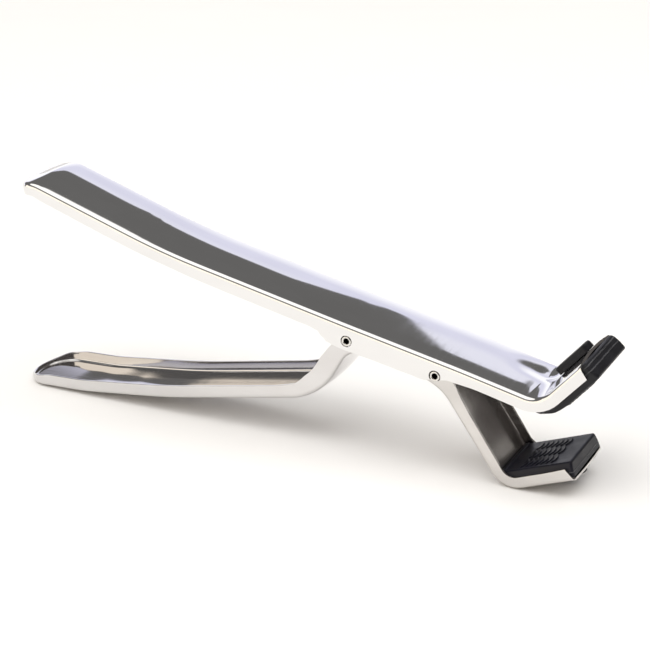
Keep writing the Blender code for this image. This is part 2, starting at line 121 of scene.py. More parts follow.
# Shallow dish pressed into the upper lever just before its jaw, as (x, depth), with its place across.
LEVER_DISH = [(57.0, 0.0), (69.5, 1.3), (71.5, 1.3), (80.0, 0.0)]
DISH_CENTRE = 4.5
DISH_SPREAD = 5.0
NO_DISH = [(0.0, 0.0)]

# Rounded handle tips: length and squareness (2 is an ellipse).
LEVER_TIP = 7.0
HANDLE_TIP = 9.0
LEVER_TIP_SQUARENESS = 2.6
HANDLE_TIP_SQUARENESS = 2.0

# The side walls lean back over this length at the end of each jaw plate, by these slopes.
END_RAKE = 6.0
LEVER_END_LEAN = 0.25
JAW_END_LEAN = 0.45

# Fine steps and edges of the stampings.
STATION_STEP = 1.1
FLOOR_STEPS = 16
BEND_STEPS = 10
WALL_STEPS = 2
TIP_SPOKES = 56
BROKEN_EDGE = 0.16

# Rubber pads.
UPPER_PAD_DEPTH = 6.2
LOWER_PAD_DEPTH = 5.7
PAD_FIT = 0.04
PAD_CORNER = 0.7
BACK_CORNER = 0.4
CAP_CORNER = 1.4
CAP_LENGTH = 1.2
CAP_BACK = -0.25
UPPER_PAD_HEEL = 70.5
UPPER_PAD_PLATE = 78.5
UPPER_PAD_TAPER = 0.4
LOWER_PAD_TAPER = 0.6
UPPER_GRIP_MARGIN = 1.6
LOWER_GRIP_MARGIN = 1.4
HEEL_ROUNDING = 0.5
CAP_ROUNDING = 0.8
LOWER_END_ROUNDING = 0.7
CAP_LEAN_START = 0.06
CAP_LEAN = 0.1
LOWER_PAD_THINNEST = 3.4
HEEL_ANGLE = 66.0
HEEL_STATIONS = 34
PAD_STEP = 0.16
PAD_CREASE = 40.0

# Thickness of the upper pad, as (length from its heel, thickness).
UPPER_PAD_GROWTH = [(0.0, 3.6), (1.5, 4.5), (3.5, 5.3), (6.0, 5.9), (9.0, UPPER_PAD_DEPTH)]

# Heights of the mould parting lines, off the outer face of each jaw plate.
UPPER_SEAMS = (-1.5, -3.1)
LOWER_SEAMS = (-2.6,)

# Moulded grip and retaining heads.
SCALE_ROWS = 7
SCALE_COLUMNS = 3
SCALE_HEIGHT = 0.5
UPPER_SCALE_PITCH = 1.5
LOWER_SCALE_PITCH = 1.6
HEAD_WIDTH = 5.0
UPPER_HEAD_HEIGHT = 2.5
LOWER_HEAD_HEIGHT = 1.8
HEAD_OFFSET = 1.2
UPPER_HEAD_LENGTH = 14.0
LOWER_HEAD_LENGTH = 12.0
UPPER_HEAD_SETBACK = 7.6
LOWER_HEAD_SETBACK = 8.4
UPPER_HEAD_CROWN = 0.9
LOWER_HEAD_CROWN = 0.3
STEM_LENGTH = 9.0
STEM_WIDTH = 3.0
SLOT_CLEARANCE = 0.2

# Return spring.
WIRE_RADIUS = 0.45
COIL_RADIUS = 2.3
COIL_TURNS = 4.55
COIL_START = 3.2
COIL_START_ANGLE = -128.0
SPRING_BRIDGE = [(46.9, 0.0, 27.3), (46.9, COIL_START - 0.8, 27.3), (46.4, COIL_START, 27.7)]
SPRING_LEG_END = (51.5, 34.35)

# Top edge of the white card behind the tool, as (bearing, elevation) in degrees, and the span of bearings.
SKY_SPAN = 120.0
CARD_TOP = [
    (-58.0, 12.0), (-38.0, 20.0), (-30.0, 25.0), (-20.0, 30.0), (-17.0, 31.0), (-15.2, 26.0), (-14.4, 21.0),
    (-13.4, 23.5), (-12.6, 28.5), (-10.2, 42.5), (-6.0, 43.0), (2.0, 40.0), (58.0, 20.0),
]

# Colours of the studio's surroundings, as mirrored in the steel.
ROOM_LEFT = (0.155, 0.152, 0.150)
ROOM_RIGHT = (0.115, 0.105, 0.10)
CARD_MIDDLE = (0.85, 0.85, 1.02)
CARD_LOW = (1.18, 1.18, 1.24)
STRIP_GLOW = (1.45, 1.32, 1.14)
WINDOW_GLOW = (0.95, 0.92, 0.88)
CEILING_GLOW = (1.38, 1.36, 1.32)
GROUND_GLOW = (1.1, 1.05, 1.0)
BACKDROP = (0.95, 0.95, 0.95)

# Area lights: place in metres and power in watts; both are squares of one size.
KEY_LIGHT = ((-0.5, -0.9, 1.6), 20.0)
FILL_LIGHT = ((0.9, 0.3, 1.5), 12.0)
LIGHT_SIZE = 1.8
FLOOR_RADIUS = 6.0
FLOOR_DROP = 0.0001

# Camera: degrees, metres and millimetres of lens, and the point (x, z) of the drawing that it looks at.
CAMERA_AZIMUTH = 26.6
CAMERA_ELEVATION = 22.5
CAMERA_PITCH = 0.5
CAMERA_DISTANCE = 0.545
CAMERA_LENS = 98.1
CAMERA_TARGET = (0.0, 36.68)


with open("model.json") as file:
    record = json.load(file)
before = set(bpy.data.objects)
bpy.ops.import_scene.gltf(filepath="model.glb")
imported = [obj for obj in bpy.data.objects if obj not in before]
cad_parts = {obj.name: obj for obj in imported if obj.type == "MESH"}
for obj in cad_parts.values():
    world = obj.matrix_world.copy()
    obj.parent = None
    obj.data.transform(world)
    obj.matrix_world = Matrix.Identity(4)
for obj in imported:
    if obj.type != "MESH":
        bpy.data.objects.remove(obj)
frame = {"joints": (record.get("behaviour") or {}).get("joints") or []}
cad_low, cad_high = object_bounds()
hinges = {joint["name"]: joint for joint in frame["joints"]}
ORIGIN = Vector(hinges["handle_hinge"]["pos_m"]) - Vector((HANDLE_PIVOT[0], 0.0, HANDLE_PIVOT[1])) * MM


def place(x, y, z):
    """A point of the drawing in metres, in the frame of the CAD model."""
    return ORIGIN + Vector((x, y, z)) * MM


def table(rows, x):
    """Smooth look-up in a short table of (x, value) rows."""
    if x <= rows[0][0]:
        return rows[0][1]
    for (x0, v0), (x1, v1) in zip(rows, rows[1:]):
        if x <= x1:
            f = (x - x0) / (x1 - x0)
            f = f * f * (3.0 - 2.0 * f)
            return v0 + (v1 - v0) * f
    return rows[-1][1]


class Line:
    """A floor line made of straight runs and arcs, walked by length."""

    def __init__(self, corners, arc_step=0.04):
        points = [Vector((corners[0][0], corners[0][1]))]
        for before, corner, after in zip(corners, corners[1:], corners[2:]):
            here = Vector(corner[:2])
            back = (Vector(before[:2]) - here).normalized()
            ahead = (Vector(after[:2]) - here).normalized()
            turn = math.pi - back.angle(ahead)
            reach = corner[2] * math.tan(turn / 2.0)
            centre = here + (back + ahead).normalized() * corner[2] / math.cos(turn / 2.0)
            arm = here + back * reach - centre
            sign = 1.0 if back.x * ahead.y - back.y * ahead.x < 0.0 else -1.0
            steps = max(6, math.ceil(turn / arc_step))
            for k in range(steps + 1):
                angle = sign * turn * k / steps
                c, s = math.cos(angle), math.sin(angle)
                points.append(centre + Vector((arm.x * c - arm.y * s, arm.x * s + arm.y * c)))
        points.append(Vector((corners[-1][0], corners[-1][1])))
        self.points = points
        self.lengths = [0.0]
        for a, b in zip(points, points[1:]):
            self.lengths.append(self.lengths[-1] + (b - a).length)
        self.total = self.lengths[-1]

    def at(self, s):
        """Position at length s; runs straight on past both ends."""
        k = min(max(bisect_right(self.lengths, s) - 1, 0), len(self.points) - 2)
        a, b = self.points[k], self.points[k + 1]
        return a + (b - a).normalized() * (s - self.lengths[k])

    def heading(self, s):
        """Direction at length s, averaged over a short stretch so that arcs stay smooth."""
        return (self.at(s + 0.8) - self.at(s - 0.8)).normalized()

    def length_at(self, x):
        """Length at which the line reaches x."""
        for k, (a, b) in enumerate(zip(self.points, self.points[1:])):
            if a.x <= x <= b.x:
                return self.lengths[k] + (b - a).length * (x - a.x) / (b.x - a.x)
        return 0.0 if x < self.points[0].x else self.total


def off_line(line, side, s, y, height):
    """The point of the model at length s of a floor line, y across and height out of its outer face."""
    where, along = line.at(s), line.heading(s)
    spot = where + Vector((-along.y, along.x)) * side * height
    return place(spot.x, y, spot.y)


def steps_between(start, end, longest):
    """Evenly spaced lengths from start to end, both included."""
    count = max(1, math.ceil((end - start) / longest))
    return [start + (end - start) * k / count for k in range(count + 1)]


def new_piece(name, bm, body, material, node=None):
    """A piece from a bmesh, standing for a CAD node; with no body it is left unattached."""
    bmesh.ops.recalc_face_normals(bm, faces=bm.faces)
    mesh = bpy.data.meshes.new(name)
    bm.to_mesh(mesh)
    bm.free()
    mesh.shade_smooth()
    mesh.materials.append(material)
    thing = bpy.data.objects.new(name, mesh)
    bpy.context.scene.collection.objects.link(thing)
    if body:
        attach(thing, body)
    if node:
        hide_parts(node)
    return thing


def apply_modifiers(thing):
    """Turn the modified shape of an object into its mesh."""
    graph = bpy.context.evaluated_depsgraph_get()
    result = bpy.data.meshes.new_from_object(thing.evaluated_get(graph))
    thing.modifiers.clear()
    old = thing.data
    thing.data = result
    bpy.data.meshes.remove(old)


def combine(thing, bm, operation):
    """Cut or join a closed shape with an exact Boolean."""
    bmesh.ops.recalc_face_normals(bm, faces=bm.faces)
    mesh = bpy.data.meshes.new("tool")
    bm.to_mesh(mesh)
    bm.free()
    mesh.shade_smooth()
    tool = bpy.data.objects.new("tool", mesh)
    bpy.context.scene.collection.objects.link(tool)
    modifier = thing.modifiers.new("combine", "BOOLEAN")
    modifier.operation = operation
    modifier.solver = "EXACT"
    modifier.object = tool
    apply_modifiers(thing)
    bpy.data.objects.remove(tool)
    bpy.data.meshes.remove(mesh)


def sharpen(thing, angle):
    """Smooth shading with creases kept sharp, and flat faces kept flat."""
    thing.data.set_sharp_from_angle(angle=math.radians(angle))
    modifier = thing.modifiers.new("even_normals", "WEIGHTED_NORMAL")
    modifier.keep_sharp = True
    modifier.weight = 80
    apply_modifiers(thing)


# ---------------------------------------------------------------------------------------------
# Steel stampings
# ---------------------------------------------------------------------------------------------

def half_section(half_width, depth, crown):
    """Outer half section from centre line to rim, as (distance in from side, height)."""
    slope = math.atan(2.0 * crown / (half_width - BEND))
    flat = half_width - BEND * (1.0 - math.sin(slope))
    rows = []
    for k in range(FLOOR_STEPS):
        y = flat * k / FLOOR_STEPS
        rows.append((half_width - y, crown * (1.0 - (y / flat) ** 2)))
    for k in range(BEND_STEPS + 1):
        angle = slope + (math.pi / 2.0 - slope) * k / BEND_STEPS
        rows.append((BEND * (1.0 - math.sin(angle)), BEND * (math.cos(angle) - math.cos(slope))))
    top = rows[-1][1]
    for k in range(1, WALL_STEPS + 1):
        rows.append((0.0, top + (-depth - top) * k / WALL_STEPS))
    return rows


def outer_skin(line, side, half_width, depths, crowns, dishes, tip, square, rake):
    """Outer skin of a stamping swept along its floor line, with a rounded tip at its start."""
    bm = bmesh.new()
    stations = steps_between(tip, line.total, STATION_STEP)

    def ring(s):
        x = line.at(s).x
        rows = half_section(half_width, table(depths, x), table(crowns, x))
        dish = table(dishes, x)
        lean = rake * max(0.0, 1.0 - (line.total - s) / END_RAKE)

        def vertex(y, height):
            height -= dish * math.exp(-(((y - DISH_CENTRE) / DISH_SPREAD) ** 2))
            return bm.verts.new(off_line(line, side, s + lean * min(height, 0.0), y, height))

        left = [vertex(-(half_width - d), h) for d, h in reversed(rows[1:])]
        return left + [vertex(half_width - d, h) for d, h in rows]

    rings = [ring(s) for s in stations]
    for r0, r1 in zip(rings, rings[1:]):
        for k in range(len(r0) - 1):
            bm.faces.new((r0[k], r0[k + 1], r1[k + 1], r1[k]))
    if tip:
        add_tip(bm, line, side, half_width, depths, crowns, tip, square, rings[0])
    return bm


def add_tip(bm, line, side, half_width, depths, crowns, tip, square, ring):
    """Rounded end of a stamping: spokes from the middle of its first ring out to a curved outline."""
    middle = len(ring) // 2
    margin = BEND + 0.8
    power = 2.0 / square

    def outline(angle):
        c, s = math.cos(angle), math.sin(angle)
        return Vector((tip * abs(c) ** power, half_width * math.copysign(abs(s) ** power, s)))

    def inward(angle):
        run = (outline(angle + 0.01) - outline(angle - 0.01)).normalized()
        away = Vector((-run.y, run.x))
        return away if away.x < 0.0 else -away

    rows = [ring[middle:]]
    for k in range(1, TIP_SPOKES):
        angle = math.pi / 2.0 * (1.0 - 2.0 * k / TIP_SPOKES)
        edge, away = outline(angle), inward(angle)
        x = line.at(tip - edge.x).x
        here_crown, root_crown = table(crowns, x), table(crowns, line.at(tip).x)
        spoke = [ring[middle]]
        for d, height in half_section(half_width, table(depths, x), here_crown)[1:]:
            spot = edge + away * min(d, margin)
            if d > margin:
                f = (d - margin) / (half_width - margin)
                spot = spot * (1.0 - f)
                height += (root_crown - here_crown) * f * f
            spoke.append(bm.verts.new(off_line(line, side, tip - spot.x, spot.y, height)))
        rows.append(spoke)
    rows.append(list(reversed(ring[: middle + 1])))
    for r0, r1 in zip(rows, rows[1:]):
        bm.faces.new((r0[0], r0[1], r1[1]))
        for k in range(1, len(r0) - 1):
            bm.faces.new((r0[k], r0[k + 1], r1[k + 1], r1[k]))


def cross_cylinder(bm, centre, radius, reach, segments=48):
    """A closed cylinder across the tool, for cutting rivet holes."""
    rings = []
    for y in (-reach, reach):
        ring = []
        for k in range(segments):
            angle = 2.0 * math.pi * k / segments
            x = centre[0] + radius * math.cos(angle)
            z = centre[1] + radius * math.sin(angle)
            ring.append(bm.verts.new(place(x, y, z)))
        rings.append(ring)
    join_rings(bm, rings, caps=True)


def join_rings(bm, rings, caps):
    """Quads between closed rings of equal length, with or without end caps."""
    count = len(rings[0])
    for r0, r1 in zip(rings, rings[1:]):
        for k in range(count):
            n = (k + 1) % count
            bm.faces.new((r0[k], r0[n], r1[n], r1[k]))
    if caps:
        bm.faces.new(rings[0])
        bm.faces.new(rings[-1])


def stamping(name, node, body, material, skin, holes, slot_cutter, inside=None):
    """A steel stamping: its outer skin thickened inwards, edges broken, holes cut."""
    thing = new_piece(name, skin, body, material, node)
    solid = thing.modifiers.new("sheet", "SOLIDIFY")
    # The inner faces take a second, darker material: painted shade inside the channel.
    if inside:
        thing.data.materials.append(inside)
        solid.material_offset = 1
    solid.thickness = SHEET * MM
    solid.offset = -1.0
    solid.use_even_offset = True
    solid.use_quality_normals = True
    edges = thing.modifiers.new("broken_edges", "BEVEL")
    edges.width = BROKEN_EDGE * MM
    edges.segments = 2
    edges.limit_method = "ANGLE"
    edges.angle_limit = math.radians(50.0)
    apply_modifiers(thing)
    cutter = bmesh.new()
    for centre, radius in holes:
        cross_cylinder(cutter, centre, radius, LEVER_HALF * 2.0)
    combine(thing, cutter, "DIFFERENCE")
    if slot_cutter:
        combine(thing, slot_cutter, "DIFFERENCE")
    sharpen(thing, 32.0)
    return thing


# ---------------------------------------------------------------------------------------------
# Rubber pads
# ---------------------------------------------------------------------------------------------

def stadium(length, width, segments=12):
    """Outline of a slot with round ends, as (along, across) points."""
    radius = width / 2.0
    half = length / 2.0 - radius
    rows = []
    for centre, start in ((half, -90.0), (-half, 90.0)):
        for k in range(segments + 1):
            angle = math.radians(start + 180.0 * k / segments)
            rows.append((centre + radius * math.cos(angle), radius * math.sin(angle)))
    return rows


def slot_body(line, side, middle, layers):
    """A stack of slot outlines on a floor line: layers are (length, width, height, offset)."""
    where, along = line.at(middle), line.heading(middle)
    normal = Vector((-along.y, along.x)) * side
    bm = bmesh.new()
    rings = []
    for length, width, height, offset in layers:
        ring = []
        for u, v in stadium(length, width):
            spot = where + along * (u + offset) + normal * height
            ring.append(bm.verts.new(place(spot.x, v, spot.y)))
        rings.append(ring)
    join_rings(bm, rings, caps=True)
    return bm


def head_body(line, side, middle, crown, length, height):
    """Retaining head of a pad with its stem, with a rounded upper edge."""
    rounding = 0.7
    layers = [
        (STEM_LENGTH, STEM_WIDTH, -2.4, 0.0),
        (STEM_LENGTH, STEM_WIDTH, crown + 0.1, 0.0),
        (length - 0.3, HEAD_WIDTH - 0.3, crown + 0.1, HEAD_OFFSET),
        (length, HEAD_WIDTH, crown + 0.25, HEAD_OFFSET),
    ]
    for k in range(6):
        angle = math.pi / 2.0 * k / 5.0
        inset = 2.0 * rounding * (1.0 - math.cos(angle))
        top = crown + height - rounding * (1.0 - math.sin(angle))
        layers.append((length - inset, HEAD_WIDTH - inset, top, HEAD_OFFSET))
    return slot_body(line, side, middle, layers)


def smooth_face(_across):
    """Height of a pad's face where it has no moulded grip."""
    return 0.0


def scale_height(along, across, half, start, pitch):
    """Height of the moulded fish-scale grip at a point of the pad's face."""
    row = (along - start) / pitch
    column = (across / half + 1.0) / 2.0 * SCALE_COLUMNS
    inside = column - math.floor(column) - 0.5
    row += 0.75 * (inside * 2.0) ** 2
    if not 0.0 <= row < SCALE_ROWS or not 0.0 < column < SCALE_COLUMNS:
        return 0.0
    ramp = row - math.floor(row)
    groove = min(1.0, (0.5 - abs(inside)) / 0.09)
    fall = min(1.0, (1.0 - ramp) / 0.12)
    return SCALE_HEIGHT * ramp * fall * groove


def pad_loop(half, top, back, depth, inset, lift, corner=BACK_CORNER):
    """Closed section of a pad as (across, height): back face, sides, rounded corners, grip face."""
    half, top, back, depth = half - inset, top - inset, back - inset, depth - inset
    side = []
    for k in range(4):
        angle = math.pi / 2.0 * k / 3.0
        side.append((half - corner + corner * math.sin(angle), back - corner + corner * math.cos(angle)))
    side.append((half, min(-depth + 2.4, back - corner - 0.1)))
    lean = math.atan2(half - top, 1.6)
    for k in range(6):
        angle = lean + (math.pi / 2.0 - lean) * k / 5.0
        across = top - PAD_CORNER + PAD_CORNER * math.cos(angle)
        side.append((across, -depth + PAD_CORNER - PAD_CORNER * math.sin(angle)))
    count = 54
    edge = top - PAD_CORNER
    face = []
    for k in range(1, count):
        across = edge * (1.0 - 2.0 * k / count)
        face.append((across, -depth - lift(across)))
    backs = [(-(half - corner) * (1.0 - k / 4.0), back) for k in range(1, 8)]
    return side + face + [(-y, h) for y, h in reversed(side)] + backs


def pad_body(line, side, stations):
    """A pad swept along a floor line: stations are (length, section points, lean)."""
    bm = bmesh.new()
    rings = []
    for s, rows, lean in stations:
        rings.append([bm.verts.new(off_line(line, side, s - lean * h, y, h)) for y, h in rows])
    join_rings(bm, rings, caps=True)
    return bm


def end_rounding(s, outward, radius):
    """Lengths and insets that round the end of a pad."""
    rows = []
    for k in range(6):
        angle = math.pi / 2.0 * k / 5.0
        rows.append((s + outward * radius * (math.sin(angle) - 1.0), radius * (1.0 - math.cos(angle))))
    return rows if outward > 0.0 else list(reversed(rows))


# ---------------------------------------------------------------------------------------------
# Rivets and spring
# ---------------------------------------------------------------------------------------------

def rivet_body(centre, half_length):
    """A hollow rivet with rolled ends and a blind dimple in each end."""
    end = half_length
    half = [
        (0.02, end - 4.0), (0.5, end - 3.9), (0.86, end - 3.6), (0.88, end - 0.7), (0.9, end - 0.25),
        (0.96, end - 0.06), (1.06, end + 0.03), (1.2, end + 0.06), (1.34, end + 0.05), (1.47, end + 0.0),
        (PIN_RADIUS, end - 0.1), (PIN_RADIUS, end - 1.5),
    ]
    profile = half + [(r, -y) for r, y in reversed(half)]
    bm = bmesh.new()
    rings = []
    for radius, y in profile:
        ring = []
        for k in range(56):
            angle = 2.0 * math.pi * k / 56
            x = centre[0] + radius * math.cos(angle)
            z = centre[1] + radius * math.sin(angle)
            ring.append(bm.verts.new(place(x, y, z)))
        rings.append(ring)
    join_rings(bm, rings, caps=True)
    axis = place(centre[0], 0.0, centre[1])
    # Faces deep in the bore take the second material, a near-black steel: painted shade in the hole.
    for face in bm.faces:
        deep = max(abs(v.co.y) for v in face.verts) < (end - 0.2) * MM
        narrow = max(math.hypot(v.co.x - axis.x, v.co.z - axis.z) for v in face.verts) < 0.92 * MM
        face.material_index = 1 if deep and narrow else 0
    return bm


def spring_path():
    """Centre line of the double torsion spring on the jaw rivet."""
    px, pz = JAW_PIVOT
    pitch = 2.0 * WIRE_RADIUS + 0.12
    half = [Vector(point) for point in SPRING_BRIDGE]
    steps = round(28 * COIL_TURNS)
    start = math.radians(COIL_START_ANGLE)
    for k in range(steps + 1):
        f = k / steps
        angle = start + 2.0 * math.pi * COIL_TURNS * f
        y = COIL_START + pitch * COIL_TURNS * f
        half.append(Vector((px + COIL_RADIUS * math.cos(angle), y, pz + COIL_RADIUS * math.sin(angle))))
    half.append(Vector((SPRING_LEG_END[0], half[-1].y, SPRING_LEG_END[1])))
    return [Vector((p.x, -p.y, p.z)) for p in reversed(half[1:])] + half


def wire_body(path, radius, segments=14):
    """A round wire swept along a path in the drawing."""
    bm = bmesh.new()
    rings = []
    across = Vector((0.0, 1.0, 0.0))
    for k, here in enumerate(path):
        along = (path[min(len(path) - 1, k + 1)] - path[max(0, k - 1)]).normalized()
        across = (across - along * across.dot(along)).normalized()
        third = along.cross(across)
        ring = []
        for j in range(segments):
            angle = 2.0 * math.pi * j / segments
            spot = here + (across * math.cos(angle) + third * math.sin(angle)) * radius
            ring.append(bm.verts.new(place(*spot)))
        rings.append(ring)
    join_rings(bm, rings, caps=True)
    return bm


# ---------------------------------------------------------------------------------------------
# Materials
# ---------------------------------------------------------------------------------------------

class Nodes:
    """Short-hand for building a material's node tree."""

    def __init__(self, name):
        self.material = bpy.data.materials.new(name)
        self.material.use_nodes = True
        self.tree = self.material.node_tree
        self.shader = self.tree.nodes["Principled BSDF"]
        self.position = self.add("ShaderNodeTexCoord").outputs["Object"]

    def add(self, kind, **settings):
        node = self.tree.nodes.new(kind)
        for key, value in settings.items():
            setattr(node, key, value)
        return node

    def link(self, source, target):
        self.tree.links.new(source, target)

    def noise(self, size, detail=4.0, roughness=0.55, distortion=0.0):
        """Noise whose features measure size = (x, y, z) millimetres."""
        mapping = self.add("ShaderNodeMapping")
        mapping.inputs["Scale"].default_value = [1.0 / (v * MM) for v in size]
        texture = self.add("ShaderNodeTexNoise")
        texture.inputs["Scale"].default_value = 1.0
        texture.inputs["Detail"].default_value = detail
        texture.inputs["Roughness"].default_value = roughness
        texture.inputs["Distortion"].default_value = distortion
        self.link(self.position, mapping.inputs["Vector"])
        self.link(mapping.outputs["Vector"], texture.inputs["Vector"])
        return texture.outputs["Fac"]

    def spread(self, value, low, high, to_low, to_high):
        """Map a value range onto another, clamped."""
        node = self.add("ShaderNodeMapRange", clamp=True)
        for key, number in (("From Min", low), ("From Max", high), ("To Min", to_low), ("To Max", to_high)):
            node.inputs[key].default_value = number
        self.link(value, node.inputs["Value"])
        return node.outputs["Result"]

    def math(self, operation, a, b):
        node = self.add("ShaderNodeMath", operation=operation)
        for socket, value in zip(node.inputs, (a, b)):
            if isinstance(value, float):
                socket.default_value = value
            else:
                self.link(value, socket)
        return node.outputs["Value"]

    def mix(self, factor, a, b):
        """Mix two colours."""
        node = self.add("ShaderNodeMix", data_type="RGBA")
        self.link(factor, node.inputs["Factor"])
        for socket, colour in ((node.inputs[6], a), (node.inputs[7], b)):
            if isinstance(colour, tuple):
                socket.default_value = (*colour, 1.0)
            else:
                self.link(colour, socket)
        return node.outputs[2]

    def bump(self, height, strength, distance, normal=None):
        node = self.add("ShaderNodeBump")
        node.inputs["Strength"].default_value = strength
        node.inputs["Distance"].default_value = distance * MM
        self.link(height, node.inputs["Height"])
        if normal:
            self.link(normal, node.inputs["Normal"])
        return node.outputs["Normal"]


def steel(name, bright, dull, roughness, grain, lines, worn=None):
    """Polished steel: faint tone patches, buffing lines along the tool, a few fine scratches.

    worn = (start, end) is a stretch of X in millimetres over which faint cross streaks set in.
    """
    n = Nodes(name)
    n.shader.inputs["Metallic"].default_value = 1.0
    patches = n.noise((26.0, 9.0, 9.0), 3.0)
    n.link(n.mix(n.spread(patches, 0.35, 0.65, 0.0, 1.0), bright, dull), n.shader.inputs["Base Color"])
    buffing = n.noise((grain * 30.0, grain, grain), 5.0)
    scratches = n.noise((16.0, 0.16, 0.16), 2.0, 0.5, 0.4)
    fine = n.spread(buffing, 0.3, 0.7, roughness[0], roughness[1])
    marks = n.spread(scratches, 0.7, 0.78, 0.0, 0.1)
    total = n.math("ADD", fine, marks)
    if worn:
        along = n.add("ShaderNodeSeparateXYZ")
        n.link(n.position, along.inputs["Vector"])
        start = n.spread(along.outputs["X"], worn[0] * MM, worn[1] * MM, 0.0, 1.0)
        streaks = n.spread(n.noise((0.6, 22.0, 22.0), 4.0), 0.35, 0.65, 0.0, 0.05)
        total = n.math("ADD", total, n.math("MULTIPLY", start, streaks))
    n.link(total, n.shader.inputs["Roughness"])
    wave = n.bump(n.noise((45.0, 16.0, 16.0), 2.0), 0.25, 0.05)
    n.link(n.bump(buffing, lines, 0.01, wave), n.shader.inputs["Normal"])
    return n.material


def parting_line(n, line, side, height):
    """Mask of a mould parting line at one height off a pad's plate."""
    along = line.heading(line.total)
    normal = Vector((-along.y, 0.0, along.x)) * side
    cut = n.add("ShaderNodeVectorMath", operation="DOT_PRODUCT")
    cut.inputs[1].default_value = normal
    n.link(n.position, cut.inputs[0])
    level = off_line(line, side, line.total, 0.0, height).dot(normal)
    ragged = n.spread(n.noise((1.6, 1.6, 1.6), 4.0), 0.3, 0.7, -0.12 * MM, 0.12 * MM)
    away = n.math("ABSOLUTE", n.math("ADD", n.math("SUBTRACT", cut.outputs["Value"], level), ragged), 0.0)
    return n.spread(away, 0.08 * MM, 0.2 * MM, 1.0, 0.0)


def rubber(name, colour, dusty, line, side, heights):
    """Moulded black rubber: fine grain, cloudy gloss, a little pale dust and mould parting lines."""
    n = Nodes(name)
    n.shader.inputs["Specular IOR Level"].default_value = 0.3
    clouds = n.noise((6.0, 6.0, 6.0), 4.0)
    specks = n.noise((0.35, 0.35, 0.35), 3.0, 0.6)
    body = n.mix(n.spread(clouds, 0.35, 0.7, 0.0, 1.0), colour, dusty)
    dust = n.spread(specks, 0.68, 0.8, 0.0, 0.35)
    dusted = n.mix(dust, body, (0.06, 0.06, 0.07))
    seams = 0.0
    for height in heights:
        seams = n.math("ADD", parting_line(n, line, side, height), seams)
    worn = n.math("MULTIPLY", seams, n.spread(clouds, 0.4, 0.6, 0.2, 0.8))
    n.link(n.mix(worn, dusted, (0.10, 0.10, 0.105)), n.shader.inputs["Base Color"])
    n.link(n.spread(clouds, 0.3, 0.7, 0.36, 0.52), n.shader.inputs["Roughness"])
    grain = n.bump(n.noise((0.3, 0.3, 0.3), 2.0), 0.3, 0.03)
    cloudy = n.bump(clouds, 0.2, 0.15, grain)
    n.link(n.bump(seams, 0.8, 0.2, cloudy), n.shader.inputs["Normal"])
    return n.material


def floor_material():
    """Plain pale paper floor with a very faint tooth."""
    n = Nodes("paper_floor")
    tone = n.spread(n.noise((90.0, 90.0, 90.0), 2.0), 0.3, 0.7, 0.0, 1.0)
    n.link(n.mix(tone, (0.93, 0.915, 0.895), (0.92, 0.905, 0.885)), n.shader.inputs["Base Color"])
    n.shader.inputs["Roughness"].default_value = 0.9
    n.shader.inputs["Specular IOR Level"].default_value = 0.1
    n.link(n.bump(n.noise((1.2, 1.2, 1.2), 3.0), 0.05, 0.05), n.shader.inputs["Normal"])
    return n.material


# ---------------------------------------------------------------------------------------------
# Studio
# ---------------------------------------------------------------------------------------------

